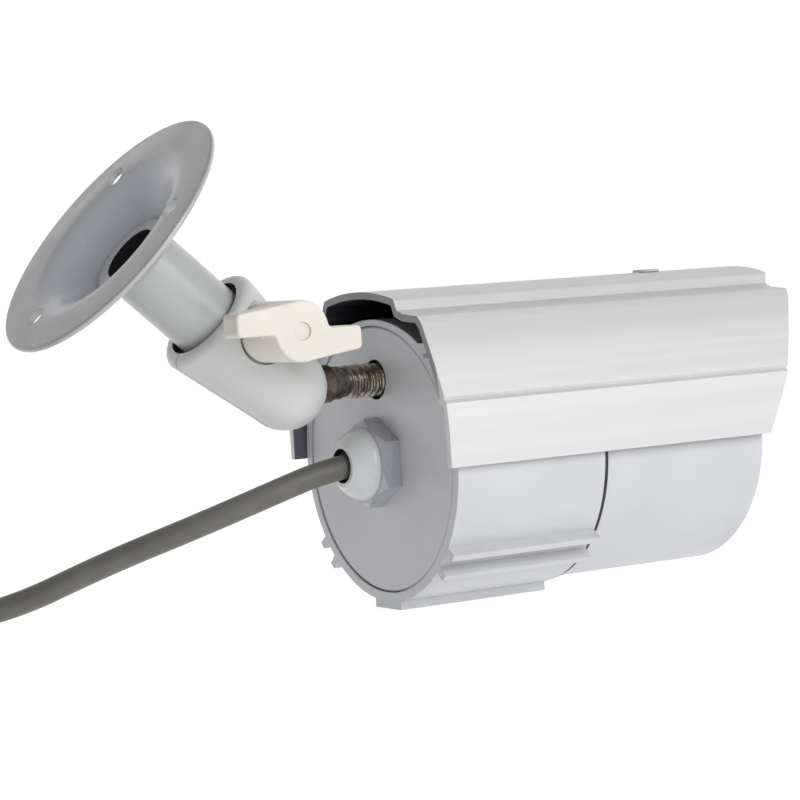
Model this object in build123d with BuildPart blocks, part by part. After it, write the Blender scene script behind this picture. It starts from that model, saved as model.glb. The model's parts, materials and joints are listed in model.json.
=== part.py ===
from build123d import *
from math import cos, pi, radians, sin
import os

# A bullet security camera with a slide-on sunshield, its ball-jointed wall bracket and its lead.
# It stands on the pad under its rear body: +Z is up, +X is the way the lens looks, and the origin
# is the bottom centre of the camera and bracket. Millimetres.

os.makedirs("parts", exist_ok=True)

# Housing, along X from the rear edge of the rear body
BODY_R = 26.5
BODY_TOP = 25.9              # the top between the rails is a flatter arc
BODY_TOP_R = 30.0
BORE_R = 24.8
SEAM_X = 32.3
SEAM_GAP = 0.8
SLEEVE_R = 25.8
SLEEVE_BORE_R = 23.6
SPIGOT_R = 24.7
SPIGOT_LENGTH = 5.5
FRONT_X = 69.9
CAP_X = 0.15
CAP_T = 4.0
CAP_R = 24.7
PAD_WIDTH = 8.8
AXIS_Z = 27.8                # the axis of the body above the surface it stands on
FIN_ANGLES = (37, 47)        # degrees below the horizontal
FIN_TIP_R = 28.7
FIN_T = 1.4

# Sunshield
SHIELD_T = 1.3
SHIELD_REAR_X = -2.5
SHIELD_TOP_Z = 31.1
SHIELD_BOTTOM_Z = -0.6
SHIELD_TOP_FRONT_X = 84.8
SHIELD_BOTTOM_FRONT_X = 69.9
SHIELD_TRAVEL = 15.0
SHIELD_SCREW_X = 64.0

# Bracket: the stem leans up and back from the ball at the end of the stud
STEM_ANGLE = 41.5
BALL_X = -19.2
STUD_Z = 14.8
BALL_R = 5.0
STUD_R = 3.15
STUD_HOLE_R = 3.2
STUD_PITCH = 1.27
THREAD_START_X = -7.0
NECK_R = 2.75
NECK_ROOT_R = 3.5
TILT_DOWN = 40.0
TILT_UP = 35.0
CLAMP_END_R = 7.8
CLAMP_COLLAR_R = 10.35
MOUTH_DEPTH = 1.4
CLAMP_FACE_S = 20.6          # distances with _S run along the stem from the ball's centre
CLAMP_SPLIT = 0.3
TUBE_R = 6.9
TUBE_BORE_R = 5.4
TUBE_END_S = 15.9
FLANGE_S = 44.8
FLANGE_R = 25.6
FLANGE_T = 1.1
DISH_S = 38.5
SCREW_CIRCLE_R = 19.1
SCREW_HOLE_R = 2.0
SCREW_TURN = -46
BOLT_S = 13.0
BOLT_RISE = 2.6
BOLT_R = 2.45
KNOB_FACE_Y = -22.0
KNOB_HUB_R = 5.4
KNOB_REACH = 12.8
WING_T = 5.0
SPOT_FACE_Y = 8.2

# Lead
CORD_D = 4.5
CORD_R = CORD_D / 2
VIDEO_D = 3.0
POWER_D = 2.8
GLAND_Z = -0.5               # the gland sits just below the body's axis
GLAND_TIP_X = -8.2
GLAND_BASE_X = -3.8
GLAND_HOLE_R = 3.2
GLAND_HEX = 14.4             # across the flats
DOME_R = 6.8
CORD_START_X = -7.0
COIL_R = 24.75
COIL_CENTRE = (-98.2, 40.6)
COIL_TURNS = 2.126
COIL_FLOOR = 0.5             # the tie's thickness lifts the coil off the surface
TIE_ANGLE = 200

STEM = Vector(-cos(radians(STEM_ANGLE)), 0, sin(radians(STEM_ANGLE)))
STEM_UP = Vector(sin(radians(STEM_ANGLE)), 0, cos(radians(STEM_ANGLE)))
FLANGE_REACH = BALL_X + FLANGE_S * STEM.X - FLANGE_R * STEM_UP.X
REAR_X = -(SHIELD_TOP_FRONT_X + FLANGE_REACH) / 2
BALL = Vector(REAR_X + BALL_X, 0, AXIS_Z + STUD_Z)
BOLT = BALL + STEM * BOLT_S + STEM_UP * BOLT_RISE
BRACKET_PLANE = Plane(BALL, x_dir=STEM, z_dir=(0, 1, 0))
COIL_X = REAR_X + COIL_CENTRE[0]
COIL_Y = COIL_CENTRE[1]
COIL_HEIGHT = CORD_D * (COIL_TURNS + 1)


def station(x):
    """The section plane across the body, x in front of its rear edge: its own x is +Y, its y is +Z."""
    return Plane((REAR_X + x, 0, AXIS_Z), x_dir=(0, 1, 0), z_dir=(1, 0, 0))


def stem_plane(s):
    """The plane across the stem, s beyond the ball's centre."""
    return Plane(BALL + STEM * s, x_dir=(0, 1, 0), z_dir=STEM)


def bolt_plane(y):
    """The plane across the clamp bolt at y, facing the knob: its own x is +X and its y is +Z."""
    return Plane((BOLT.X, y, BOLT.Z), x_dir=(1, 0, 0), z_dir=(0, -1, 0))


def ring(x0, x1, outer, inner=0.0, rise=0.0, mode=Mode.ADD):
    """A disc or ring between two stations, rise above the body's axis."""
    with BuildSketch(station(x0)) as section:
        with Locations((0, rise)):
            Circle(outer)
            if inner:
                Circle(inner, mode=Mode.SUBTRACT)
    extrude(section.sketch, amount=x1 - x0, mode=mode)


def stem_ring(s0, s1, outer, inner=0.0, mode=Mode.ADD):
    """A disc or ring on the stem's axis between two distances from the ball."""
    with BuildSketch(stem_plane(s0)) as section:
        Circle(outer)
        if inner:
            Circle(inner, mode=Mode.SUBTRACT)
    extrude(section.sketch, amount=s1 - s0, mode=mode)


def bolt_ring(y0, y1, outer, inner=0.0, mode=Mode.ADD):
    """A disc or ring on the clamp bolt's axis, from y0 out to y1 on the knob's side."""
    with BuildSketch(bolt_plane(y0)) as section:
        Circle(outer)
        if inner:
            Circle(inner, mode=Mode.SUBTRACT)
    extrude(section.sketch, amount=y0 - y1, mode=mode)


def finish(piece, name):
    """Labels a finished piece and writes its STEP file."""
    piece.part.label = name
    export_step(piece.part, f"parts/{name}.step")


# ---------------------------------------------------------------- housing

with BuildPart() as rear_body:
    rail = [(-14, 21.4), (-20.9, 21.4), (-23.2, 17.0), (-17, 15.5)]
    with BuildSketch(station(0)):
        Circle(BODY_R)
        with Locations((0, -AXIS_Z)):
            Rectangle(PAD_WIDTH, 5, align=(Align.CENTER, Align.MIN))
        for angle in FIN_ANGLES:
            for turn in (-angle, angle - 180):
                with PolarLocations((BODY_R + FIN_TIP_R) / 2 - 0.5, 1, start_angle=turn):
                    Rectangle(FIN_TIP_R - BODY_R + 1, FIN_T)
        with Locations((0, BODY_TOP - BODY_TOP_R)):
            Circle(BODY_TOP_R, mode=Mode.INTERSECT)
        for side in (-1, 1):
            with BuildLine():
                Polyline([(-side * y, z) for y, z in rail], close=True)
            make_face()
            with Locations((side * 22.6, 19.3)):
                Rectangle(4.0, 1.5, mode=Mode.SUBTRACT)
        Circle(BORE_R, mode=Mode.SUBTRACT)
    extrude(amount=SEAM_X)
finish(rear_body, "rear_body")

with BuildPart() as rear_cap:
    ring(CAP_X, CAP_X + CAP_T, CAP_R)
    chamfer(rear_cap.edges().filter_by(GeomType.CIRCLE).group_by(Axis.X)[0], 0.4)
    with BuildSketch(station(CAP_X + CAP_T)):
        with Locations((0, STUD_Z)):
            Circle(5.2)
    extrude(amount=5)
    ring(CAP_X + 1.6, CAP_X + 3.0, CAP_R + 1, CAP_R - 1.3, mode=Mode.SUBTRACT)
    ring(CAP_X, CAP_X + CAP_T, 6.0, rise=GLAND_Z, mode=Mode.SUBTRACT)
    for radius, depth in ((STUD_HOLE_R, CAP_T + 6), (STUD_HOLE_R + 0.5, 1.8)):
        with BuildSketch(station(CAP_X)):
            with Locations((0, STUD_Z)):
                Circle(radius)
        extrude(amount=depth, mode=Mode.SUBTRACT)
finish(rear_cap, "rear_cap")

with BuildPart() as cap_seal:
    with Locations(station(CAP_X + 2.3).location):
        Torus(CAP_R - 0.6, 0.65)
finish(cap_seal, "cap_seal")

with BuildPart() as body_seal:
    ring(SEAM_X, SEAM_X + SEAM_GAP, BODY_R - 0.15, SPIGOT_R)
finish(body_seal, "body_seal")

with BuildPart() as front_sleeve:
    ring(SEAM_X + SEAM_GAP, FRONT_X, SLEEVE_R, SLEEVE_BORE_R)
    fillet(front_sleeve.edges().filter_by(GeomType.CIRCLE).group_by(Axis.X)[-1].sort_by(Axis.Z)[-1:], 0.8)
    ring(SEAM_X - SPIGOT_LENGTH, SEAM_X + SEAM_GAP, SPIGOT_R, SLEEVE_BORE_R)
    ring(56.4, 58.0, SLEEVE_BORE_R, 21.2)
    with BuildSketch(Plane((REAR_X + SHIELD_SCREW_X, 0, AXIS_Z + SLEEVE_R + 1))):
        Circle(1.5)
    extrude(amount=-2.6, mode=Mode.SUBTRACT)
finish(front_sleeve, "front_sleeve")

# ---------------------------------------------------------------- front window

with BuildPart() as glass_seal:
    ring(65.3, 66.0, SLEEVE_BORE_R - 0.1, 21.6)
finish(glass_seal, "glass_seal")

with BuildPart() as front_glass:
    ring(66.0, 68.0, SLEEVE_BORE_R - 0.1)
finish(front_glass, "front_glass")

with BuildPart() as window_ring:
    ring(68.0, 69.6, SLEEVE_BORE_R - 0.05, 21.6)
    chamfer(window_ring.edges().filter_by(GeomType.CIRCLE).group_by(Axis.X)[-1].sort_by(SortBy.RADIUS)[0], 0.8)
    with BuildSketch(station(68.6)):
        with PolarLocations(21.4, 2):
            Rectangle(1.8, 1.4)
    extrude(amount=2, mode=Mode.SUBTRACT)
finish(window_ring, "window_ring")

with BuildPart() as spacer_ring:
    ring(59.6, 65.3, SLEEVE_BORE_R - 0.1, 22.3)
finish(spacer_ring, "spacer_ring")

# ---------------------------------------------------------------- lamps and electronics

LAMP_R = 2.5
LAMP_ARCS = [(19.0, 4, start, 72) for start in (63, 153, 243, 333)] + [(12.9, 11, 120, 330)]
BOARD_HOLES = 26             # between the screw holes of both boards

with BuildPart() as lamp_board:
    ring(58.0, 59.6, SLEEVE_BORE_R - 0.2, 8.2)
    with BuildSketch(station(58.0)):
        with GridLocations(BOARD_HOLES, BOARD_HOLES, 2, 2):
            Circle(1.1)
    extrude(amount=1.6, mode=Mode.SUBTRACT)
finish(lamp_board, "lamp_board")

with BuildPart() as infrared_lamps:
    for radius, count, start, span in LAMP_ARCS:
        with BuildSketch(station(59.6)):
            with PolarLocations(radius, count, start, span):
                Circle(LAMP_R + 0.3)
        extrude(amount=0.9)
        with BuildSketch(station(60.5)):
            with PolarLocations(radius, count, start, span):
                Circle(LAMP_R)
        extrude(amount=1.8)
        with Locations(station(62.3).location):
            with PolarLocations(radius, count, start, span):
                Sphere(LAMP_R, arc_size1=0)
finish(infrared_lamps, "infrared_lamps")

with BuildPart() as light_sensor:
    with BuildSketch(station(59.6)):
        with Locations((0, 12.9)):
            Circle(2.0)
    extrude(amount=1.6)
finish(light_sensor, "light_sensor")

with BuildPart() as lens_shroud:
    ring(59.6, 65.9, 8.2, 7.0)
finish(lens_shroud, "lens_shroud")

with BuildPart() as main_board:
    with BuildSketch(station(42.4)):
        RectangleRounded(32, 32, 1.5)
        with GridLocations(BOARD_HOLES, BOARD_HOLES, 2, 2):
            Circle(1.1, mode=Mode.SUBTRACT)
    extrude(amount=1.6)
finish(main_board, "main_board")

with BuildPart() as board_pillars:
    with BuildSketch(station(44.0)):
        with GridLocations(BOARD_HOLES, BOARD_HOLES, 2, 2):
            RegularPolygon(2.3, 6)
            Circle(1.05, mode=Mode.SUBTRACT)
    extrude(amount=14.0)
finish(board_pillars, "board_pillars")

with BuildPart() as board_screws:
    with BuildSketch(station(42.4)):
        with GridLocations(BOARD_HOLES, BOARD_HOLES, 2, 2):
            Circle(2.0)
    extrude(amount=-1.4)
    with BuildSketch(station(42.4)):
        with GridLocations(BOARD_HOLES, BOARD_HOLES, 2, 2):
            Circle(1.0)
    extrude(amount=6.0)
finish(board_screws, "board_screws")

with BuildPart() as lamp_screws:
    with BuildSketch(station(59.6)):
        with GridLocations(BOARD_HOLES, BOARD_HOLES, 2, 2):
            Circle(1.6)
    extrude(amount=0.8)
    with BuildSketch(station(59.6)):
        with GridLocations(BOARD_HOLES, BOARD_HOLES, 2, 2):
            Circle(1.0)
    extrude(amount=-6.0)
finish(lamp_screws, "lamp_screws")

with BuildPart() as board_chips:
    with BuildSketch(station(42.4)):
        with Locations((-7, 5), (6, -6)):
            Rectangle(7, 7)
        with Locations((7, 7)):
            Rectangle(5, 4)
        with Locations((-9, -7)):
            Circle(2.6)
    extrude(amount=-1.3)
finish(board_chips, "board_chips")

with BuildPart() as image_sensor:
    with BuildSketch(station(44.0)):
        Rectangle(9, 8)
    extrude(amount=1.2)
finish(image_sensor, "image_sensor")

with BuildPart() as lens_holder:
    with BuildSketch(station(44.0)):
        RectangleRounded(18, 14, 1)
        Rectangle(13, 11, mode=Mode.SUBTRACT)
    extrude(amount=4.5)
    ring(48.5, 50.0, 8.0, 4.5)
    ring(50.0, 56.0, 7.4, 6.0)
    ring(48.4, 50.1, 6.0, mode=Mode.SUBTRACT)
finish(lens_holder, "lens_holder")

with BuildPart() as lens_barrel:
    ring(49.0, 60.5, 5.95, 4.0)
    ring(58.2, 64.6, 6.8, 4.8)
    ring(58.0, 60.6, 4.8, mode=Mode.SUBTRACT)
    ring(49.5, 58.2, 4.0, mode=Mode.SUBTRACT)
    ring(57.6, 58.2, 5.95, 4.0)
finish(lens_barrel, "lens_barrel")

with BuildPart() as lens_glass:
    ring(60.6, 63.0, 4.75)
    ring(51.0, 53.0, 3.95)
    ring(55.0, 56.2, 3.95)
finish(lens_glass, "lens_glass")

with BuildPart() as board_connector:
    with BuildSketch(station(41.1 - 1.2)):
        with Locations((0, -12)):
            Rectangle(9, 5)
    extrude(amount=2.5)
    with BuildSketch(station(36.4)):
        with Locations((0, -12)):
            Rectangle(8, 4)
    extrude(amount=3.5)
finish(board_connector, "board_connector")

with BuildPart() as inner_lead:
    inner_route = [(CORD_START_X, GLAND_Z), (12, GLAND_Z), (26, -12), (36.4, -12)]
    with BuildLine():
        FilletPolyline([(REAR_X + x, 0, AXIS_Z + z) for x, z in inner_route], radius=13)
    with BuildSketch(station(CORD_START_X)):
        with Locations((0, GLAND_Z)):
            Circle(CORD_R)
    sweep()
finish(inner_lead, "inner_lead")

# ---------------------------------------------------------------- cable gland

gland_axis = Axis((0, 0, AXIS_Z + GLAND_Z), (1, 0, 0))

with BuildPart() as gland_body:
    with BuildSketch(station(GLAND_BASE_X)):
        with Locations((0, GLAND_Z)):
            RegularPolygon(GLAND_HEX / 2, 6, major_radius=False, rotation=30)
    extrude(amount=CAP_X - GLAND_BASE_X)
    with BuildSketch(Plane((REAR_X, 0, AXIS_Z + GLAND_Z), x_dir=(1, 0, 0), z_dir=(0, -1, 0))):
        with BuildLine():
            Polyline([(GLAND_BASE_X, 0), (GLAND_BASE_X, GLAND_HEX / 2), (GLAND_BASE_X + 1.1, GLAND_HEX * 0.58),
                      (CAP_X, GLAND_HEX * 0.58), (CAP_X, 0)], close=True)
        make_face()
    revolve(axis=gland_axis, mode=Mode.INTERSECT)
    ring(CAP_X, CAP_X + 9.0, 5.95, rise=GLAND_Z)
    ring(GLAND_BASE_X, GLAND_BASE_X + 3, 4.5, rise=GLAND_Z, mode=Mode.SUBTRACT)
    ring(GLAND_BASE_X, CAP_X + 9.0, 2.6, rise=GLAND_Z, mode=Mode.SUBTRACT)
finish(gland_body, "gland_body")

with BuildPart() as gland_nut:
    with BuildSketch(Plane((REAR_X, 0, AXIS_Z + GLAND_Z), x_dir=(1, 0, 0), z_dir=(0, -1, 0))):
        with BuildLine():
            Line((GLAND_BASE_X, 4.6), (GLAND_BASE_X, DOME_R))
            Line((GLAND_BASE_X, DOME_R), (GLAND_BASE_X - 0.6, DOME_R))
            ThreePointArc((GLAND_BASE_X - 0.6, DOME_R), (GLAND_TIP_X + 1.2, DOME_R - 1.5),
                          (GLAND_TIP_X, GLAND_HOLE_R + 0.7))
            Line((GLAND_TIP_X, GLAND_HOLE_R + 0.7), (GLAND_TIP_X, GLAND_HOLE_R))
            Line((GLAND_TIP_X, GLAND_HOLE_R), (GLAND_TIP_X + 1.2, GLAND_HOLE_R))
            Line((GLAND_TIP_X + 1.2, GLAND_HOLE_R), (GLAND_TIP_X + 1.2, 4.6))
            Line((GLAND_TIP_X + 1.2, 4.6), (GLAND_BASE_X, 4.6))
        make_face()
    revolve(axis=gland_axis)
finish(gland_nut, "gland_nut")

with BuildPart() as gland_bush:
    ring(GLAND_TIP_X + 1.3, GLAND_BASE_X + 2.9, 4.45, CORD_R + 0.05, rise=GLAND_Z)
finish(gland_bush, "gland_bush")

with BuildPart() as gland_locknut:
    with BuildSketch(station(CAP_X + CAP_T)):
        with Locations((0, GLAND_Z)):
            RegularPolygon(GLAND_HEX / 2, 6, major_radius=False, rotation=0)
            Circle(5.95, mode=Mode.SUBTRACT)
    extrude(amount=3.0)
finish(gland_locknut, "gland_locknut")

# ---------------------------------------------------------------- sunshield

SHIELD_SIDE = [(12.2, 29.6), (13.2, 27.5), (15.2, 26.8), (19.9, 26.4), (21.3, 25.0), (25.0, 17.4), (27.3, 12.0),
               (27.0, 11.5), (27.9, 10.9), (28.3, 7.0), (28.4, -6.0)]

with BuildPart() as sunshield:
    with BuildSketch(station(SHIELD_REAR_X)) as shield_section:
        with BuildLine():
            ThreePointArc((-SHIELD_SIDE[0][0], SHIELD_SIDE[0][1]), (0, SHIELD_TOP_Z),
                          (SHIELD_SIDE[0][0], SHIELD_SIDE[0][1]))
            Polyline(SHIELD_SIDE + [(-y, z) for y, z in reversed(SHIELD_SIDE)])
        make_face()
        fillet(shield_section.vertices().group_by(Axis.Y)[-1], 1.0)
        offset(amount=-SHIELD_T, kind=Kind.INTERSECTION, mode=Mode.SUBTRACT)
        with Locations((0, SHIELD_BOTTOM_Z)):
            Rectangle(80, 20, align=(Align.CENTER, Align.MAX), mode=Mode.SUBTRACT)
        for side in (-1, 1):
            with Locations((side * 22.2, 19.3)):
                Rectangle(2.2, 0.8)
    extrude(amount=SHIELD_TOP_FRONT_X - SHIELD_REAR_X + 2)
    cut_slope = (SHIELD_TOP_FRONT_X - SHIELD_BOTTOM_FRONT_X) / (SHIELD_TOP_Z - SHIELD_BOTTOM_Z)
    with BuildSketch(Plane.XZ):
        with BuildLine():
            low = REAR_X + SHIELD_BOTTOM_FRONT_X - 5 * cut_slope
            high = REAR_X + SHIELD_TOP_FRONT_X + 5 * cut_slope
            Polyline([(low, AXIS_Z + SHIELD_BOTTOM_Z - 5), (high, AXIS_Z + SHIELD_TOP_Z + 5),
                      (high + 30, AXIS_Z + SHIELD_TOP_Z + 5), (high + 30, AXIS_Z + SHIELD_BOTTOM_Z - 5)],
                     close=True)
        make_face()
    extrude(amount=40, both=True, mode=Mode.SUBTRACT)
    with BuildSketch(Plane((REAR_X + SHIELD_SCREW_X - SHIELD_TRAVEL / 2, 0, AXIS_Z + SHIELD_TOP_Z + 1))):
        SlotCenterToCenter(SHIELD_TRAVEL, 3.6)
    extrude(amount=-5, mode=Mode.SUBTRACT)
finish(sunshield, "sunshield")

with BuildPart() as shield_spacer:
    with BuildSketch(Plane((REAR_X + SHIELD_SCREW_X, 0, AXIS_Z + SHIELD_TOP_Z - SHIELD_T - 0.1))):
        Circle(3.0)
        Circle(1.55, mode=Mode.SUBTRACT)
    extrude(amount=-6)
    ring(SHIELD_SCREW_X - 5, SHIELD_SCREW_X + 5, SLEEVE_R, mode=Mode.SUBTRACT)
finish(shield_spacer, "shield_spacer")

with BuildPart() as shield_screw:
    with BuildSketch(Plane((REAR_X + SHIELD_SCREW_X, 0, AXIS_Z + SHIELD_TOP_Z + 0.05))) as screw_head:
        Circle(2.7)
    extrude(amount=0.45, taper=30)
    with BuildSketch(screw_head.workplanes[0]):
        Circle(1.45)
    extrude(amount=-(SHIELD_TOP_Z + 0.05 - SLEEVE_R + 1.5))
    with BuildSketch(screw_head.workplanes[0].offset(0.5)):
        Rectangle(0.7, 3)
        Rectangle(3, 0.7)
    extrude(amount=-1.0, mode=Mode.SUBTRACT)
finish(shield_screw, "shield_screw")

# ---------------------------------------------------------------- ball stud

with BuildPart() as ball_stud:
    with Locations(BALL):
        Sphere(BALL_R)
    turns = int((CAP_X + CAP_T + 3.5 - THREAD_START_X) / STUD_PITCH)
    with BuildSketch(Plane(BALL, x_dir=(1, 0, 0), z_dir=(0, -1, 0))):
        with BuildLine():
            thread_start = THREAD_START_X - BALL_X
            outline = [(3.0, 0), (3.0, NECK_ROOT_R), (thread_start - 3.0, NECK_ROOT_R),
                       (thread_start - 0.9, STUD_R - 0.1), (thread_start - 0.6, NECK_R), (thread_start, NECK_R)]
            for turn in range(turns):
                root = thread_start + turn * STUD_PITCH
                outline += [(root + STUD_PITCH * 0.35, STUD_R), (root + STUD_PITCH * 0.6, STUD_R),
                            (root + STUD_PITCH * 0.95, STUD_R - 0.6)]
            outline += [(thread_start + turns * STUD_PITCH, 0)]
            Polyline(outline, close=True)
        make_face()
    revolve(axis=Axis(BALL, (1, 0, 0)))
finish(ball_stud, "ball_stud")

# ---------------------------------------------------------------- clamp


def clamp_half(side):
    """One half of the clamp: a tapered bar with a round end, hollowed for the ball, stem and bolt."""
    with BuildPart() as half:
        with BuildSketch(BRACKET_PLANE):
            with BuildLine():
                Line((-CLAMP_END_R, 0), (CLAMP_FACE_S, 0))
                Line((CLAMP_FACE_S, 0), (CLAMP_FACE_S, CLAMP_COLLAR_R - 1.5))
                RadiusArc((CLAMP_FACE_S, CLAMP_COLLAR_R - 1.5), (CLAMP_FACE_S - 1.5, CLAMP_COLLAR_R), -1.5)
                Line((CLAMP_FACE_S - 1.5, CLAMP_COLLAR_R), (0, CLAMP_END_R))
                RadiusArc((0, CLAMP_END_R), (-CLAMP_END_R, 0), -CLAMP_END_R)
            make_face()
        revolve(axis=Axis(BALL, STEM))
        # the seat of the ball and the slot that the stud swings in
        with Locations(BALL):
            Sphere(BALL_R + 0.05, mode=Mode.SUBTRACT)
        with BuildSketch(BRACKET_PLANE):
            sweep_angles = [180 - STEM_ANGLE + tilt for tilt in (TILT_DOWN, 20, 0, -20, -TILT_UP)]
            with BuildLine():
                Polyline([(0, 0)] + [(15 * cos(radians(a)), 15 * sin(radians(a))) for a in sweep_angles],
                         close=True)
            make_face()
        extrude(amount=NECK_ROOT_R + 0.3, both=True, mode=Mode.SUBTRACT)
        for tilt in (TILT_DOWN, -TILT_UP):
            turn = radians(180 - STEM_ANGLE + tilt)
            way = STEM * cos(turn) + STEM_UP * sin(turn)
            with BuildSketch(Plane(BALL, z_dir=way)):
                Circle(NECK_ROOT_R + 0.3)
            extrude(amount=15, mode=Mode.SUBTRACT)
        # the seat of the stem, the groove for its bead and the wider mouth
        stem_ring(TUBE_END_S - 0.1, CLAMP_FACE_S + 1, TUBE_R + 0.08, mode=Mode.SUBTRACT)
        stem_ring(TUBE_END_S - 0.1, TUBE_END_S + 1.5, TUBE_R + 0.78, mode=Mode.SUBTRACT)
        stem_ring(CLAMP_FACE_S - MOUTH_DEPTH, CLAMP_FACE_S + 1, TUBE_R + 1.05, mode=Mode.SUBTRACT)
        # the bolt's hole and the spot faces under its head and washer
        bolt_ring(20, -20, BOLT_R + 0.05, mode=Mode.SUBTRACT)
        bolt_ring(20, SPOT_FACE_Y, 5.8, mode=Mode.SUBTRACT)
        bolt_ring(-SPOT_FACE_Y, -20, 5.8, mode=Mode.SUBTRACT)
        # the parting plane
        with BuildSketch(Plane.XZ.offset(side * CLAMP_SPLIT / 2)):
            with Locations((BALL.X, BALL.Z)):
                Rectangle(120, 120)
        extrude(amount=-side * 40, mode=Mode.SUBTRACT)
    return half


clamp_near = clamp_half(1)
finish(clamp_near, "clamp_near")
clamp_far = clamp_half(-1)
finish(clamp_far, "clamp_far")

with BuildPart() as clamp_bolt:
    with BuildSketch(bolt_plane(SPOT_FACE_Y + 3.2)):
        RegularPolygon(4.0, 6, major_radius=False)
    extrude(amount=3.2)
    bolt_ring(SPOT_FACE_Y, KNOB_FACE_Y + 2.5, BOLT_R)
finish(clamp_bolt, "clamp_bolt")

with BuildPart() as clamp_washer:
    bolt_ring(-SPOT_FACE_Y, -SPOT_FACE_Y - 0.8, 5.2, BOLT_R + 0.1)
finish(clamp_washer, "clamp_washer")

# ---------------------------------------------------------------- wing knob

HUB_START_Y = -SPOT_FACE_Y - 0.9

with BuildPart() as wing_knob:
    bolt_ring(HUB_START_Y, KNOB_FACE_Y, KNOB_HUB_R)
    with BuildSketch(bolt_plane(KNOB_FACE_Y + WING_T)) as wings:
        Circle(KNOB_HUB_R)
        for way, reach in ((1, KNOB_REACH), (-1, KNOB_REACH - 0.9)):
            wing = [(0, KNOB_HUB_R), (-reach, 3.7), (-reach, -0.4), (0, -0.4)]
            with BuildLine():
                Polyline([(way * x, way * z) for x, z in wing], close=True)
            make_face()
        fillet(wings.vertices(), 0.9)
    extrude(amount=WING_T)
    fillet(wing_knob.faces().sort_by(Axis.Y)[0].edges(), 0.5)
    with BuildSketch(bolt_plane(KNOB_FACE_Y)):
        Circle(1.6)
    extrude(amount=-0.4, mode=Mode.SUBTRACT)
    bolt_ring(HUB_START_Y, KNOB_FACE_Y + 2.3, BOLT_R + 0.05, mode=Mode.SUBTRACT)
    with BuildSketch(bolt_plane(HUB_START_Y)):
        RegularPolygon(4.0, 6, major_radius=False)
    extrude(amount=4.0, mode=Mode.SUBTRACT)
finish(wing_knob, "wing_knob")

with BuildPart() as knob_insert:
    with BuildSketch(bolt_plane(HUB_START_Y)):
        RegularPolygon(3.98, 6, major_radius=False)
        Circle(BOLT_R + 0.05, mode=Mode.SUBTRACT)
    extrude(amount=3.98)
finish(knob_insert, "knob_insert")

# ---------------------------------------------------------------- stem and wall flange

with BuildPart() as stem_tube:
    stem_ring(TUBE_END_S, DISH_S, TUBE_R, TUBE_BORE_R)
    stem_ring(TUBE_END_S, TUBE_END_S + 1.4, TUBE_R + 0.7, TUBE_BORE_R)
    stem_ring(DISH_S, DISH_S + 0.6, TUBE_R + 0.9, TUBE_BORE_R)
finish(stem_tube, "stem_tube")

RIM_MIDDLE_S = FLANGE_S - FLANGE_T / 2

with BuildPart() as wall_flange:
    with BuildSketch(BRACKET_PLANE):
        with BuildLine():
            FilletPolyline([(RIM_MIDDLE_S, FLANGE_R), (FLANGE_S, FLANGE_R), (FLANGE_S, 15.8), (DISH_S, 9.2),
                            (DISH_S, TUBE_R)], radius=[0.4, 8.0, 1.6])
            Line((DISH_S, TUBE_R), (DISH_S - FLANGE_T, TUBE_R))
            FilletPolyline([(DISH_S - FLANGE_T, TUBE_R), (DISH_S - FLANGE_T, 9.7),
                            (FLANGE_S - FLANGE_T, 16.3), (FLANGE_S - FLANGE_T, FLANGE_R),
                            (RIM_MIDDLE_S, FLANGE_R)], radius=[1.2, 8.0, 0.4])
        make_face()
    revolve(axis=Axis(BALL, STEM))
    with BuildSketch(stem_plane(FLANGE_S - 3)):
        with PolarLocations(SCREW_CIRCLE_R, 3, start_angle=SCREW_TURN):
            Circle(SCREW_HOLE_R)
    extrude(amount=6, mode=Mode.SUBTRACT)
finish(wall_flange, "wall_flange")

# ---------------------------------------------------------------- lead


def cord(route, diameter):
    """A round cord along straight runs joined by arcs as large as the runs allow."""
    points = [Vector(*p) for p in route]
    radii = []
    for before, corner, after in zip(points, points[1:], points[2:]):
        shorter = min((corner - before).length, (after - corner).length)
        half_turn = radians((corner - before).get_angle(after - corner)) / 2
        radii.append(0.45 * shorter * cos(half_turn) / sin(half_turn))
    with BuildPart() as tube:
        with BuildLine() as path:
            FilletPolyline(points, radius=radii)
        with BuildSketch(Plane(points[0], z_dir=points[1] - points[0])):
            Circle(diameter / 2)
        sweep()
    length = path.wires()[0].length
    filled = tube.part.volume / (pi * diameter ** 2 / 4 * length)
    print("cord length", round(length, 1), "radii", [round(r) for r in radii], "filled", round(filled, 3))
    return tube


def beside(points):
    """Route points given from the body's rear edge and the surface that it stands on."""
    return [(REAR_X + x, y, z) for x, y, z in points]


LEAD_ROUTE = [(CORD_START_X, 0, 27.2), (-12.9, 0.6, 26.3), (-18.8, 2.0, 24.4), (-28.0, 6.2, 20.8),
              (-36.0, 11.8, 17.3), (-42.8, 17.7, 14.2), (-49.2, 24.2, 10.8), (-58.0, 34.2, 5.4),
              (-65.6, 42.8, 2.7), (-73.4, 50.9, 2.5), (-80.6, 57.9, 2.75)]
TAIL_ROUTE = [(-98.2, 65.35, 12.3), (-107.5, 65.4, 12.0), (-118.0, 64.2, 8.2), (-127.6, 60.6, 4.4),
              (-135.4, 54.9, 3.1), (-140.5, 48.0, 3.0)]
VIDEO_ROUTE = [(-150.7, 36.55, 3.0), (-154.2, 30.5, 3.0), (-156.6, 23.2, 2.0), (-157.9, 15.4, 1.9),
               (-158.3, 8.6, 3.6), (-158.0, 2.4, 5.0), (-157.5, -3.4, 5.0)]
POWER_ROUTE = [(-145.3, 33.45, 3.0), (-148.5, 27.9, 3.0), (-150.0, 20.6, 2.0), (-149.2, 13.2, 2.0),
               (-147.0, 6.6, 3.4), (-144.9, 0.6, 4.5), (-143.3, -5.0, 4.5)]
SPLIT_WAY = Vector(-0.5, -0.866, 0)
SPLIT_START = Vector(REAR_X + TAIL_ROUTE[-1][0], *TAIL_ROUTE[-1][1:])
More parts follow.
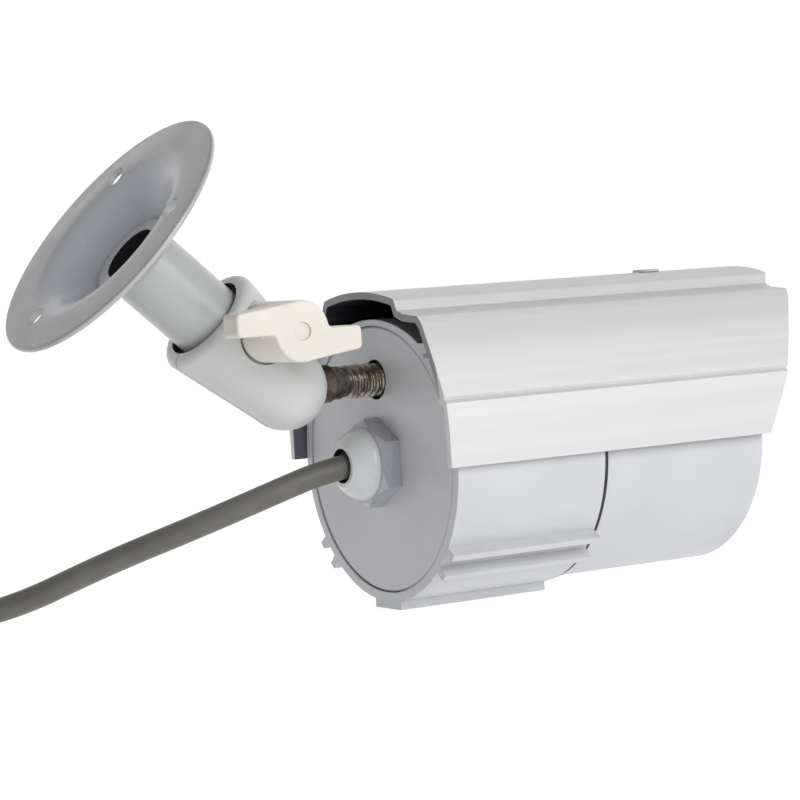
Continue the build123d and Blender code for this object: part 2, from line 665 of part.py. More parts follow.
SPLIT_LENGTH = 15.0

cable_lead = cord(beside(LEAD_ROUTE), CORD_D)
finish(cable_lead, "cable_lead")

with BuildPart() as cable_coil:
    with BuildSketch(Plane.XY.offset(COIL_FLOOR)):
        with Locations((COIL_X, COIL_Y)):
            Circle(COIL_R + CORD_R)
            Circle(COIL_R - CORD_R, mode=Mode.SUBTRACT)
    extrude(amount=COIL_HEIGHT)
finish(cable_coil, "cable_coil")

with BuildPart() as cable_tie:
    out = Vector(cos(radians(TIE_ANGLE)), sin(radians(TIE_ANGLE)), 0)
    along = Vector(-out.Y, out.X, 0)
    middle = Vector(COIL_X, COIL_Y, COIL_FLOOR + COIL_HEIGHT / 2) + out * COIL_R
    with BuildSketch(Plane(middle, x_dir=out, z_dir=along)):
        Rectangle(CORD_D + 1.4, COIL_HEIGHT + 2 * COIL_FLOOR)
        Rectangle(CORD_D + 0.4, COIL_HEIGHT, mode=Mode.SUBTRACT)
    extrude(amount=3.0, both=True)
finish(cable_tie, "cable_tie")

cable_tail = cord(beside(TAIL_ROUTE), CORD_D)
finish(cable_tail, "cable_tail")

with BuildPart() as cable_splitter:
    with BuildSketch(Plane(SPLIT_START, x_dir=(SPLIT_WAY.Y, -SPLIT_WAY.X, 0), z_dir=SPLIT_WAY)):
        RectangleRounded(6.4, 5.8, 2.4)
    with BuildSketch(Plane(SPLIT_START + SPLIT_WAY * SPLIT_LENGTH, x_dir=(SPLIT_WAY.Y, -SPLIT_WAY.X, 0),
                           z_dir=SPLIT_WAY)):
        RectangleRounded(10.0, 5.4, 2.4)
    loft()
finish(cable_splitter, "cable_splitter")


def along_lead(route):
    """The plane at a lead's far end, facing the way it runs, level with the surface."""
    end = Vector(*route[-1])
    way = end - Vector(*route[-2])
    way = Vector(way.X, way.Y, 0).normalized()
    return Plane(end, z_dir=way)


video_lead = cord(beside(VIDEO_ROUTE), VIDEO_D)
finish(video_lead, "video_lead")
power_lead = cord(beside(POWER_ROUTE), POWER_D)
finish(power_lead, "power_lead")

video_end = along_lead(beside(VIDEO_ROUTE))
power_end = along_lead(beside(POWER_ROUTE))

with BuildPart() as video_boot:
    with BuildSketch(video_end):
        Circle(2.6)
    with BuildSketch(video_end.offset(9)):
        Circle(4.8)
    loft()
    with BuildSketch(video_end.offset(9)):
        Circle(4.8)
    extrude(amount=5)
finish(video_boot, "video_boot")

with BuildPart() as video_connector:
    with BuildSketch(video_end.offset(14)):
        Circle(4.9)
        Circle(2.4, mode=Mode.SUBTRACT)
    extrude(amount=2.5)
    with BuildSketch(video_end.offset(16.5)):
        Circle(4.6)
        Circle(3.9, mode=Mode.SUBTRACT)
    extrude(amount=9.5)
    with BuildSketch(video_end.offset(14)):
        Circle(2.4)
        Circle(0.7, mode=Mode.SUBTRACT)
    extrude(amount=9.5)
    with Locations(video_end.offset(21.5).location * Rot(0, 90, 0)):
        Cylinder(1.0, 10.0)
    with BuildSketch(video_end.offset(16.5)):
        Circle(3.9)
        Circle(2.4, mode=Mode.SUBTRACT)
    extrude(amount=9.5, mode=Mode.SUBTRACT)
finish(video_connector, "video_connector")

with BuildPart() as power_boot:
    with BuildSketch(power_end):
        Circle(2.5)
    with BuildSketch(power_end.offset(8)):
        Circle(4.4)
    loft()
    with BuildSketch(power_end.offset(8)):
        Circle(4.4)
    extrude(amount=16)
    with BuildSketch(power_end.offset(14)):
        Circle(2.8)
    extrude(amount=10, mode=Mode.SUBTRACT)
finish(power_boot, "power_boot")

with BuildPart() as power_pin:
    with BuildSketch(power_end.offset(14)):
        Circle(1.05)
    extrude(amount=8.5)
finish(power_pin, "power_pin")
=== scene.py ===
import json
import math
import bmesh
import bpy
from mathutils import Matrix, Vector


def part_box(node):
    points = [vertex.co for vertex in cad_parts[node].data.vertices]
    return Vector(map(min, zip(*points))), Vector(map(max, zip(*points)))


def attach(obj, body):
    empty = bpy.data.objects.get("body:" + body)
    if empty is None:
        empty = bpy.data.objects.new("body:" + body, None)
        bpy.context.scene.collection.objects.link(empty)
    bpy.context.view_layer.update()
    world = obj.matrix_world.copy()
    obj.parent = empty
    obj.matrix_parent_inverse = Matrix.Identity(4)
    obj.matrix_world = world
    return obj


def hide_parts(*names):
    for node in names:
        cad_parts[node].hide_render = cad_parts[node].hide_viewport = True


# The looks of a bullet security camera on its ball-jointed wall bracket, with its coiled lead.
# Everything is in metres in the row's frame. Lengths written in millimetres go through MM or place().

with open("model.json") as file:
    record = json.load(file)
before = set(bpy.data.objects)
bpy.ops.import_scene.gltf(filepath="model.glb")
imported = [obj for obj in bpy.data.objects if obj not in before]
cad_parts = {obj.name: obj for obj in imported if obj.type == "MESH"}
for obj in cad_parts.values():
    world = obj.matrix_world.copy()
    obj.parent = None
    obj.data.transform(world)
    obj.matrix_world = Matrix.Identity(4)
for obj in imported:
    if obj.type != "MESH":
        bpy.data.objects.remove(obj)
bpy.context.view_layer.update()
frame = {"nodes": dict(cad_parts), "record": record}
MM = 0.001
scene = bpy.context.scene

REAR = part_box("rear_body")[0].x                 # the rear edge of the rear body
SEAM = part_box("body_seal")
AXIS_Z = (SEAM[0].z + SEAM[1].z) / 2            # the axis of the round housing
BODY_OF = {node: body for body, nodes in frame["record"]["behaviour"]["bodies"].items() for node in nodes}
SLOT_OF = {part["node"]: part["material_slot"] for part in frame["record"]["subparts"]}
MIDDLE = Vector((0, 0, AXIS_Z))
X_AXIS = Vector((1, 0, 0))
STEM_ANGLE = math.radians(41.5)
STEM = Vector((-math.cos(STEM_ANGLE), 0, math.sin(STEM_ANGLE)))
BALL_X = -19.2                                  # the ball's middle, from the body's rear edge
BALL_RISE = 14.8                                # the ball's middle, above the axis


def place(x, y, z):
    """A point from the body's rear edge, its middle plane and the surface below it, in millimetres."""
    return Vector((REAR + x * MM, y * MM, z * MM))


BALL = place(BALL_X, 0, AXIS_Z / MM + BALL_RISE)

# ---------------------------------------------------------------- camera

CAMERA_AT = place(-270.8, -442.9, 65.1)
CAMERA_TURN = 31.94          # degrees from +Y towards +X
CAMERA_DIP = 2.93            # degrees below level
CAMERA_ROLL = -3.6           # degrees
CAMERA_LENS = 126.5          # millimetres of focal length
SENSOR_WIDTH = 36            # millimetres


def add_camera():
    """The viewer's place, behind the housing and to its near side."""
    data = bpy.data.cameras.new("camera")
    data.lens = CAMERA_LENS
    data.sensor_width = SENSOR_WIDTH
    data.clip_start = 0.01
    data.clip_end = 100
    obj = bpy.data.objects.new("camera", data)
    turn = Matrix.Rotation(math.radians(-CAMERA_TURN), 4, "Z")
    dip = Matrix.Rotation(math.radians(90 - CAMERA_DIP), 4, "X")
    roll = Matrix.Rotation(math.radians(CAMERA_ROLL), 4, "Z")
    obj.matrix_world = Matrix.Translation(CAMERA_AT) @ turn @ dip @ roll
    scene.collection.objects.link(obj)
    scene.camera = obj


# ---------------------------------------------------------------- material tools

EDGE_RADIUS = 0.00022        # metres


def shader(name):
    """A new node material: its tree, its Principled shader and a texture coordinate output in metres."""
    mat = bpy.data.materials.new(name)
    mat.use_nodes = True
    tree = mat.node_tree
    bsdf = tree.nodes["Principled BSDF"]
    coords = tree.nodes.new("ShaderNodeTexCoord")
    return mat, tree, bsdf, coords.outputs["Object"]


def noise(tree, coords, scale, detail=3.0, stretch=(1, 1, 1), rough=0.5):
    """A noise texture's factor, with features about 1/scale metres wide."""
    mapping = tree.nodes.new("ShaderNodeMapping")
    mapping.inputs["Scale"].default_value = stretch
    tree.links.new(coords, mapping.inputs["Vector"])
    texture = tree.nodes.new("ShaderNodeTexNoise")
    texture.inputs["Scale"].default_value = scale
    texture.inputs["Detail"].default_value = detail
    texture.inputs["Roughness"].default_value = rough
    tree.links.new(mapping.outputs["Vector"], texture.inputs["Vector"])
    return texture.outputs["Fac"]


def ramp(tree, factor, stops):
    """A colour ramp over a factor, from (position, colour or grey) stops."""
    node = tree.nodes.new("ShaderNodeValToRGB")
    node.color_ramp.interpolation = "EASE"
    elements = node.color_ramp.elements
    while len(elements) < len(stops):
        elements.new(0.5)
    for element, (position, colour) in zip(elements, stops):
        element.position = position
        element.color = (*colour, 1) if hasattr(colour, "__len__") else (colour, colour, colour, 1)
    tree.links.new(factor, node.inputs["Fac"])
    return node.outputs["Color"]


def bump(tree, bsdf, heights):
    """Breaks sharp edges, and stacks bumps, each a (factor, distance in metres, strength), over them."""
    edges = tree.nodes.new("ShaderNodeBevel")
    edges.inputs["Radius"].default_value = EDGE_RADIUS
    edges.samples = 4
    normal = edges.outputs["Normal"]
    for factor, distance, strength in heights:
        node = tree.nodes.new("ShaderNodeBump")
        node.inputs["Distance"].default_value = distance
        node.inputs["Strength"].default_value = strength
        tree.links.new(factor, node.inputs["Height"])
        tree.links.new(normal, node.inputs["Normal"])
        normal = node.outputs["Normal"]
    tree.links.new(normal, bsdf.inputs["Normal"])


def shade(colour, factor):
    """A colour made darker or lighter by a factor."""
    return tuple(min(1.0, c * factor) for c in colour)


def painted(name, colour, rough, metallic=0.0, grain=1400, depth=0.00001, coat=0.0):
    """Sprayed metallic or powder paint: fine orange peel, a faint mottle and uneven gloss."""
    mat, tree, bsdf, coords = shader(name)
    mottle = noise(tree, coords, 60, detail=5)
    tree.links.new(ramp(tree, mottle, [(0.3, shade(colour, 0.97)), (0.7, shade(colour, 1.03))]),
                   bsdf.inputs["Base Color"])
    gloss = noise(tree, coords, 130, detail=4)
    tree.links.new(ramp(tree, gloss, [(0.3, rough - 0.05), (0.7, rough + 0.05)]), bsdf.inputs["Roughness"])
    bsdf.inputs["Metallic"].default_value = metallic
    bsdf.inputs["Coat Weight"].default_value = coat
    bsdf.inputs["Coat Roughness"].default_value = 0.3
    peel = noise(tree, coords, grain, detail=2)
    bump(tree, bsdf, [(peel, depth, 0.35)])
    return mat


def extruded(name, colour, rough, metallic):
    """Anodised aluminium extrusion: faint die lines along X over a fine bead-blasted grain."""
    mat, tree, bsdf, coords = shader(name)
    lines = noise(tree, coords, 500, detail=4, stretch=(0.01, 1, 1))
    tree.links.new(ramp(tree, lines, [(0.3, shade(colour, 0.975)), (0.7, shade(colour, 1.02))]),
                   bsdf.inputs["Base Color"])
    tree.links.new(ramp(tree, lines, [(0.3, rough - 0.04), (0.7, rough + 0.06)]), bsdf.inputs["Roughness"])
    bsdf.inputs["Metallic"].default_value = metallic
    grain = noise(tree, coords, 3000, detail=2)
    bump(tree, bsdf, [(lines, 0.000006, 0.25), (grain, 0.000005, 0.3)])
    return mat


def moulded(name, colour, rough, wax=0.0, coat=0.0):
    """Moulded plastic: a soft mottle, fine texture and, on a pale waxy plastic, some light inside it."""
    mat, tree, bsdf, coords = shader(name)
    mottle = noise(tree, coords, 90, detail=4)
    tree.links.new(ramp(tree, mottle, [(0.3, shade(colour, 0.96)), (0.7, shade(colour, 1.03))]),
                   bsdf.inputs["Base Color"])
    gloss = noise(tree, coords, 220, detail=3)
    tree.links.new(ramp(tree, gloss, [(0.3, rough - 0.05), (0.7, rough + 0.07)]), bsdf.inputs["Roughness"])
    bsdf.inputs["Subsurface Weight"].default_value = wax
    bsdf.inputs["Subsurface Radius"].default_value = (0.9, 0.7, 0.5)
    bsdf.inputs["Subsurface Scale"].default_value = 0.002
    bsdf.inputs["Coat Weight"].default_value = coat
    texture = noise(tree, coords, 900, detail=2)
    bump(tree, bsdf, [(texture, 0.00001, 0.4)])
    return mat


def metal(name, colour, stain, rough):
    """Plated or machined metal with patches of a darker stain and fine scratches."""
    mat, tree, bsdf, coords = shader(name)
    patches = noise(tree, coords, 350, detail=5, rough=0.65)
    tree.links.new(ramp(tree, patches, [(0.35, stain), (0.6, colour)]), bsdf.inputs["Base Color"])
    tree.links.new(ramp(tree, patches, [(0.35, rough + 0.2), (0.65, rough)]), bsdf.inputs["Roughness"])
    bsdf.inputs["Metallic"].default_value = 1.0
    scratches = noise(tree, coords, 1800, detail=3, stretch=(0.15, 1, 1))
    bump(tree, bsdf, [(scratches, 0.000008, 0.4)])
    return mat


def jacket(name, colour):
    """Flexible PVC cable jacket: matte, faintly streaked, with a fine extruded skin."""
    mat, tree, bsdf, coords = shader(name)
    mottle = noise(tree, coords, 150, detail=6, rough=0.6)
    tree.links.new(ramp(tree, mottle, [(0.3, shade(colour, 0.86)), (0.7, shade(colour, 1.12))]),
                   bsdf.inputs["Base Color"])
    bsdf.inputs["Roughness"].default_value = 0.52
    bsdf.inputs["Sheen Weight"].default_value = 0.08
    skin = noise(tree, coords, 2600, detail=3)
    bump(tree, bsdf, [(mottle, 0.00004, 0.25), (skin, 0.00001, 0.4)])
    return mat


def clear(name, colour=(0.95, 0.98, 0.97), rough=0.02):
    """Clear glass, very slightly uneven in gloss."""
    mat, tree, bsdf, coords = shader(name)
    film = noise(tree, coords, 60, detail=3)
    tree.links.new(ramp(tree, film, [(0.3, rough), (0.7, rough + 0.03)]), bsdf.inputs["Roughness"])
    bsdf.inputs["Base Color"].default_value = (*colour, 1)
    bsdf.inputs["Transmission Weight"].default_value = 1.0
    bsdf.inputs["IOR"].default_value = 1.5
    return mat


MATERIALS = {
    "shield_metal": extruded("shield_metal", (0.57, 0.57, 0.575), rough=0.42, metallic=0.15),
    "body_paint": painted("body_paint", (0.49, 0.495, 0.515), rough=0.42, metallic=0.1),
    "bracket_paint": painted("bracket_paint", (0.37, 0.375, 0.38), rough=0.3, metallic=0.1, coat=0.3),
    "clamp_paint": painted("clamp_paint", (0.50, 0.505, 0.50), rough=0.4, grain=900, depth=0.00002),
    "knob_plastic": moulded("knob_plastic", (0.62, 0.59, 0.53), rough=0.5, wax=0.25),
    "steel": metal("steel", (0.34, 0.30, 0.25), (0.10, 0.085, 0.07), rough=0.2),
    "brass": metal("brass", (0.78, 0.58, 0.27), (0.45, 0.30, 0.12), rough=0.25),
    "gland_plastic": moulded("gland_plastic", (0.53, 0.54, 0.55), rough=0.3, coat=0.2),
    "seal_rubber": moulded("seal_rubber", (0.012, 0.012, 0.013), rough=0.6),
    "cable_jacket": jacket("cable_jacket", (0.105, 0.102, 0.09)),
    "connector_plastic": moulded("connector_plastic", (0.018, 0.018, 0.02), rough=0.45),
    "connector_metal": metal("connector_metal", (0.72, 0.70, 0.66), (0.5, 0.48, 0.44), rough=0.18),
    "window_glass": clear("window_glass"),
    "board": moulded("board", (0.01, 0.10, 0.04), rough=0.35),
    "black_plastic": moulded("black_plastic", (0.014, 0.014, 0.015), rough=0.5),
    "lamp_epoxy": clear("lamp_epoxy", (0.75, 0.68, 0.78), rough=0.04),
}


DISH_FROM_R = 0.008          # metres from the stem's axis, where the change of colour starts: darker at the hole, then the dish's painted reflection, then the rim's painted shade
DISH_TO_R = 0.021            # and ends


def flange_shade_and_reflection(shaded_rim_colour, reflected_dish_colour):
    """Glossy paint on the pressed flange's front face: a rim darker than the bracket paint, which is
    painted shade, that turns into a brighter, bluer dish, which is a painted reflection.
    """
    mat = painted("flange_shade_and_reflection", shaded_rim_colour, rough=0.3, grain=700, depth=0.000003, coat=0.25)
    tree = mat.node_tree
    bsdf = tree.nodes["Principled BSDF"]
    coords = next(n for n in tree.nodes if n.type == "TEX_COORD").outputs["Object"]
    offset = tree.nodes.new("ShaderNodeVectorMath")
    offset.operation = "SUBTRACT"
    offset.inputs[1].default_value = BALL
    tree.links.new(coords, offset.inputs[0])
    across = tree.nodes.new("ShaderNodeVectorMath")
    across.operation = "CROSS_PRODUCT"
    across.inputs[1].default_value = STEM
    tree.links.new(offset.outputs["Vector"], across.inputs[0])
    radius = tree.nodes.new("ShaderNodeVectorMath")
    radius.operation = "LENGTH"
    tree.links.new(across.outputs["Vector"], radius.inputs[0])
    share = tree.nodes.new("ShaderNodeMapRange")
    share.inputs["From Min"].default_value = DISH_FROM_R
    share.inputs["From Max"].default_value = DISH_TO_R
    tree.links.new(radius.outputs["Value"], share.inputs["Value"])
    # darker towards the hole, then the brighter, bluer dish as a painted reflection, then the darker rim
    # as painted shade
    stops = [(0.0, shade(reflected_dish_colour, 0.7)), (0.2, reflected_dish_colour), (0.5, reflected_dish_colour), (0.95, shaded_rim_colour)]
    tree.links.new(ramp(tree, share.outputs["Result"], stops), bsdf.inputs["Base Color"])
    return mat


# The flange's front face: painted shade on its rim and a painted reflection in its dish.
FLANGE_SHADE_AND_REFLECTION = flange_shade_and_reflection((0.26, 0.262, 0.265), (0.40, 0.41, 0.45))
# Painted shade on the sunshield: near black under its raised middle, mid grey on the end face of its
# raised middle, dark blue-grey inside its flaps.
ARCH_PAINTED_SHADE = painted("arch_painted_shade", (0.010, 0.011, 0.015), rough=0.6)
END_PAINTED_SHADE = painted("end_painted_shade", (0.24, 0.245, 0.26), rough=0.5)
FLAP_PAINTED_SHADE = painted("flap_painted_shade", (0.11, 0.115, 0.14), rough=0.5)
# Painted shade in the thread's valleys and on its flanks.
THREAD_PAINTED_SHADE = moulded("thread_painted_shade", (0.010, 0.008, 0.007), rough=0.35)
SHADOWED = moulded("shadowed", (0.006, 0.006, 0.006), rough=0.8)
NUT_GREY = moulded("nut_grey", (0.34, 0.345, 0.38), rough=0.28, coat=0.2)


def dress(obj, mat):
    """Gives a piece one material."""
    obj.data.materials.clear()
    obj.data.materials.append(mat)


# ---------------------------------------------------------------- mesh tools


def new_object(name, data):
    """Puts a mesh or a curve in the scene."""
    obj = bpy.data.objects.new(name, data)
    scene.collection.objects.link(obj)
    return obj


def smooth_by_angle(mesh, degrees):
    """Shades a mesh smooth, except across edges that turn by more than the angle."""
    mesh.shade_smooth()
    bm = bmesh.new()
    bm.from_mesh(mesh)
    limit = math.radians(degrees)
    for edge in bm.edges:
        edge.smooth = len(edge.link_faces) == 2 and edge.calc_face_angle(0) < limit
    bm.to_mesh(mesh)
    bm.free()


SHARP = 32                   # degrees


def finished(name, bm, degrees=SHARP):
    """A new object from a bmesh, with its normals outward and its sharp edges kept sharp."""
    bmesh.ops.recalc_face_normals(bm, faces=bm.faces)
    mesh = bpy.data.meshes.new(name)
    bm.to_mesh(mesh)
    bm.free()
    smooth_by_angle(mesh, degrees)
    return new_object(name, mesh)


def stands_for(obj, node):
    """A finer piece takes the place of a CAD node, on the same body and with the same finish."""
    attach(obj, BODY_OF[node])
    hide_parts(node)
    dress(obj, MATERIALS[SLOT_OF[node]])


def welded(node):
    """A bmesh of a CAD node's own faces, joined where they meet."""
    source = frame["nodes"][node].data
    points = [vertex.co.copy() for vertex in source.vertices]
    mesh = bpy.data.meshes.new(node)
    mesh.from_pydata(points, [], [list(face.vertices) for face in source.polygons])
    bm = bmesh.new()
    bm.from_mesh(mesh)
    bpy.data.meshes.remove(mesh)
    bmesh.ops.remove_doubles(bm, verts=bm.verts, dist=2e-6)
    return bm


def softened(node, width, segments):
    """A CAD node's own shape with its sharp edges broken by a small rounded bevel."""
    bm = welded(node)
    bmesh.ops.dissolve_degenerate(bm, edges=bm.edges, dist=1e-6)
    bmesh.ops.dissolve_limit(bm, angle_limit=math.radians(0.5), verts=bm.verts, edges=bm.edges)
    obj = finished(node + "_soft", bm)
    bevel = obj.modifiers.new("rounded_edges", "BEVEL")
    bevel.width = width
    bevel.segments = segments
    bevel.limit_method = "ANGLE"
    bevel.angle_limit = math.radians(SHARP)
    bevel.harden_normals = True
    stands_for(obj, node)
    return obj


def basis(origin, way):
    """Places a piece that is made along its own Z, in millimetres: its Z goes along way from origin."""
    turn = Vector(way).to_track_quat("Z", "X").to_matrix().to_4x4()
    return Matrix.Translation(origin) @ turn @ Matrix.Scale(MM, 4)


def lathe(bm, profile, at, steps=64):
    """Adds a turned surface through (along, radius) points; a radius of 0 closes it with one point."""
    rings = []
    for along, radius in profile:
        if radius <= 0:
            rings.append([bm.verts.new(at @ Vector((0, 0, along)))] * steps)
            continue
        rings.append([bm.verts.new(at @ Vector((radius * math.cos(2 * math.pi * i / steps),
                                                radius * math.sin(2 * math.pi * i / steps), along)))
                      for i in range(steps)])
    for low, high in zip(rings, rings[1:]):
        for i in range(steps):
            corners = [low[i - 1], low[i], high[i], high[i - 1]]
            unique = list(dict.fromkeys(corners))
            if len(unique) > 2:
                bm.faces.new(unique)


def arc(centre, radius, start, end, steps):
    """Points along an arc, in degrees from the piece's axis, for a lathe's profile."""
    turns = [math.radians(start + (end - start) * i / steps) for i in range(steps + 1)]
    return [(centre[0] + radius * math.cos(t), max(0.0, centre[1] + radius * math.sin(t))) for t in turns]


RIB_STEPS = 6                # points in a rib and its groove


def ribbed(start, end, wide, narrow, depth, ribs):
    """A lathe profile of rings with rounded grooves between them, along a cone."""
    points = []
    for i in range(ribs * RIB_STEPS + 1):
        part = i / (ribs * RIB_STEPS)
        groove = max(0.0, math.sin(2 * math.pi * part * ribs - math.pi / 2))
        points.append((start + (end - start) * part, narrow + (wide - narrow) * part - depth * groove))
    return points


# ---------------------------------------------------------------- painted shade and reflection


def with_painted_light(node, *painted_light):
    """A CAD node's shape, with each material of painted shade or painted reflection on the faces that its
    test picks.
    """
    obj = finished(node + "_fine", welded(node))
    stands_for(obj, node)
    for index, (mat, picks) in enumerate(painted_light, 1):
        obj.data.materials.append(mat)
        for face in obj.data.polygons:
            if picks(face):
                face.material_index = index


def inward(face, origin, axis):
    """How squarely a face looks at an axis: 1 when straight at it, -1 when straight away."""
    out = face.center - origin
    out -= out.dot(axis) * axis
    return -face.normal.dot(out.normalized()) if out.length > 0 else 0.0


def along_stem(face):
    """How far a face's middle is from the ball along the stem, in millimetres."""
    return (face.center - BALL).dot(STEM) / MM


INSIDE = 0.3                 # from here up, inward() finds an inner face
SQUARE = 0.9                 # from here up, a face is square to an axis
ARCH_LOW = AXIS_Z + 14 * MM  # the sunshield's raised middle starts here
COLLAR_FROM = 15             # along the stem: the inner faces beyond this are the collar's
COLLAR_FACE = 20             # between the floor of the collar's mouth and its end face
GLAND_Z = AXIS_Z - 0.5 * MM  # the middle of the cable gland
STUD_HOLE_R = 4 * MM         # a little over the radius of the hole's walls


def add_painted_shade_and_reflection():
    """Painted shade on the parts' insides and hollows, which are in the dark, and painted shade and a
    painted reflection on the flange's front face.
    """
    # painted shade inside the sunshield's flaps and raised middle, and on the raised middle's end face
    with_painted_light("sunshield",
          (FLAP_PAINTED_SHADE, lambda f: inward(f, MIDDLE, X_AXIS) > INSIDE and abs(f.normal.x) < 0.5),
          (ARCH_PAINTED_SHADE, lambda f: inward(f, MIDDLE, X_AXIS) > INSIDE and f.center.z > ARCH_LOW),
          (END_PAINTED_SHADE, lambda f: f.normal.x < -SQUARE and f.center.z > ARCH_LOW))
    with_painted_light("stem_tube", (SHADOWED, lambda f: inward(f, BALL, STEM) > INSIDE))
    for half in ("clamp_near", "clamp_far"):
        with_painted_light(half, (SHADOWED, lambda f: inward(f, BALL, STEM) > INSIDE and along_stem(f) > COLLAR_FROM),
              (SHADOWED, lambda f: f.normal.dot(STEM) > SQUARE and along_stem(f) < COLLAR_FACE))
    # painted shade and a painted reflection on the flange's front face
    with_painted_light("wall_flange", (FLANGE_SHADE_AND_REFLECTION, lambda f: f.normal.dot(STEM) > 0.1))
    gland = Vector((0, 0, GLAND_Z))
    with_painted_light("gland_nut", (SHADOWED, lambda f: inward(f, gland, X_AXIS) > INSIDE))
    stud = Vector((0, 0, BALL.z))
    with_painted_light("rear_cap", (SHADOWED, lambda f: (inward(f, stud, X_AXIS) > 0.6
                                            and (f.center - stud).yz.length < STUD_HOLE_R)))


# ---------------------------------------------------------------- stud

BALL_R = 5.0
THREAD_START = -7.0          # from the rear edge of the body
THREAD_END = 8.0
THREAD_PITCH = 1.27
THREAD_CREST = 3.15
THREAD_ROOT = 2.45
THREAD_RUN_IN = 0.35         # over which the thread rises to its full height
ROUND_STEPS = 64             # points round the thread
PITCH_STEPS = 10             # rows of faces in a pitch
CREST_ROWS = range(3, 7)     # of those rows, the crest's, which keep the steel; the other rows get painted shade


def thread_height(part):
    """The thread's height at a part of its pitch: 0 in the valley, 1 on the crest."""
    from_crest = abs(2 * (part % 1) - 1)
    return min(1.0, max(0.0, (0.85 - from_crest) / 0.7))


def add_stud():
    """The ball, the neck and a quarter-inch thread that is a true helix."""
    bm = bmesh.new()
    at = basis(BALL, (1, 0, 0))
    start = THREAD_START - BALL_X
    ball = arc((0, 0), BALL_R, 180, 44.5, 24)
    neck = [(start - 3.2, 3.5), (start - 3.0, 3.4), (start - 2.7, 3.05),
            (start - 0.9, 3.05), (start - 0.55, 2.75), (start + 0.5, 2.7)]
    lathe(bm, ball + neck, at)
    rows = round((THREAD_END - THREAD_START) / THREAD_PITCH * PITCH_STEPS)
    grid = []
    for row in range(rows + PITCH_STEPS + 1):
        height = thread_height(row / PITCH_STEPS)
        line = []
        for step in range(ROUND_STEPS):
            along = start + THREAD_PITCH * (row / PITCH_STEPS + step / ROUND_STEPS - 1)
            rise = height * min(1.0, max(0.0, (along - start) / THREAD_RUN_IN))
            radius = THREAD_ROOT + (THREAD_CREST - THREAD_ROOT) * rise
            turn = 2 * math.pi * step / ROUND_STEPS
            spot = Vector((radius * math.cos(turn), radius * math.sin(turn), along))
            line.append(bm.verts.new(at @ spot))
        grid.append(line)
    for row in range(rows):
        for step in range(ROUND_STEPS):
            if step + 1 < ROUND_STEPS:
                ahead, ahead_up = grid[row][step + 1], grid[row + 1][step + 1]
            else:
                ahead, ahead_up = grid[row + PITCH_STEPS][0], grid[row + PITCH_STEPS + 1][0]
            face = bm.faces.new([grid[row][step], ahead, ahead_up, grid[row + 1][step]])
            # the crest rows keep the steel; the valleys and flanks get painted shade
            face.material_index = 0 if row % PITCH_STEPS in CREST_ROWS else 1
    loose = [v for v in bm.verts if not v.link_faces]
    bmesh.ops.delete(bm, geom=loose, context="VERTS")
    obj = finished("threaded_stud", bm, 50)
    stands_for(obj, "ball_stud")
    # painted shade for the thread's valleys and flanks
    obj.data.materials.append(THREAD_PAINTED_SHADE)


# ---------------------------------------------------------------- lamps

LAMP_CUP_X = 60.7            # the cups' floor, from the rear edge of the body
LAMP_CUP = [(0, 0), (0.1, 0.5), (1.0, 1.3), (1.1, 1.45), (0.9, 1.5), (-0.1, 0.7)]
# Arcs of lamps: radius, number of lamps, first angle, and the angle that they share, in degrees.
LAMP_ARCS = [(19.0, 4, start, 72) for start in (63, 153, 243, 333)] + [(12.9, 11, 120, 330)]


def add_lamp_cups():
    """The metal cup inside each lamp."""
    bm = bmesh.new()
    for radius, count, start, span in LAMP_ARCS:
        for i in range(count):
            turn = math.radians(start + span * i / count)
            centre = place(LAMP_CUP_X, radius * math.cos(turn), AXIS_Z / MM + radius * math.sin(turn))
            lathe(bm, LAMP_CUP, basis(centre, (1, 0, 0)), 20)
    obj = finished("lamp_cups", bm)
    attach(obj, "camera")
    dress(obj, MATERIALS["connector_metal"])


# ---------------------------------------------------------------- lead

CORD_D = 4.5
VIDEO_D = 3.0
POWER_D = 2.8
COIL_R = 24.75
COIL_CENTRE = (-98.2, 40.6)
COIL_START_Z = 2.75          # height of the cable's middle where the coil starts
COIL_START = 44.5            # degrees
COIL_TURNS = 2.126
COIL_STEPS = 16              # points in a turn
LEAD_ROUTE = [(-7.0, 0, 27.2), (-12.9, 0.6, 26.3), (-18.8, 2.0, 24.4), (-28.0, 6.2, 20.8),
              (-36.0, 11.8, 17.3), (-42.8, 17.7, 14.2), (-49.2, 24.2, 10.8), (-58.0, 34.2, 5.4),
              (-65.6, 42.8, 2.7), (-73.4, 50.9, 2.5)]
TAIL_ROUTE = [(-107.5, 65.4, 12.0), (-118.0, 64.2, 8.2), (-127.6, 60.6, 4.4),
              (-135.4, 54.9, 3.1), (-140.5, 48.0, 3.0)]
VIDEO_ROUTE = [(-150.7, 36.55, 3.0), (-154.2, 30.5, 3.0), (-156.6, 23.2, 2.0), (-157.9, 15.4, 1.9),
               (-158.3, 8.6, 3.6), (-158.0, 2.4, 5.0), (-157.5, -3.4, 5.0)]
POWER_ROUTE = [(-145.3, 33.45, 3.0), (-148.5, 27.9, 3.0), (-150.0, 20.6, 2.0), (-149.2, 13.2, 2.0),
               (-147.0, 6.6, 3.4), (-144.9, 0.6, 4.5), (-143.3, -5.0, 4.5)]


def coil_route():
    """The turns of the coil, each lying on the one below it."""
    steps = round(COIL_TURNS * COIL_STEPS)
    radius = COIL_R / math.cos(math.pi / COIL_STEPS) ** 0.5      # the smooth curve cuts its corners
    points = []
    for i in range(steps + 1):
        turned = COIL_TURNS * i / steps
        angle = math.radians(COIL_START + 360 * turned)
        x = COIL_CENTRE[0] + radius * math.cos(angle)
        y = COIL_CENTRE[1] + radius * math.sin(angle)
        points.append((x, y, COIL_START_Z + CORD_D * turned))
    return points


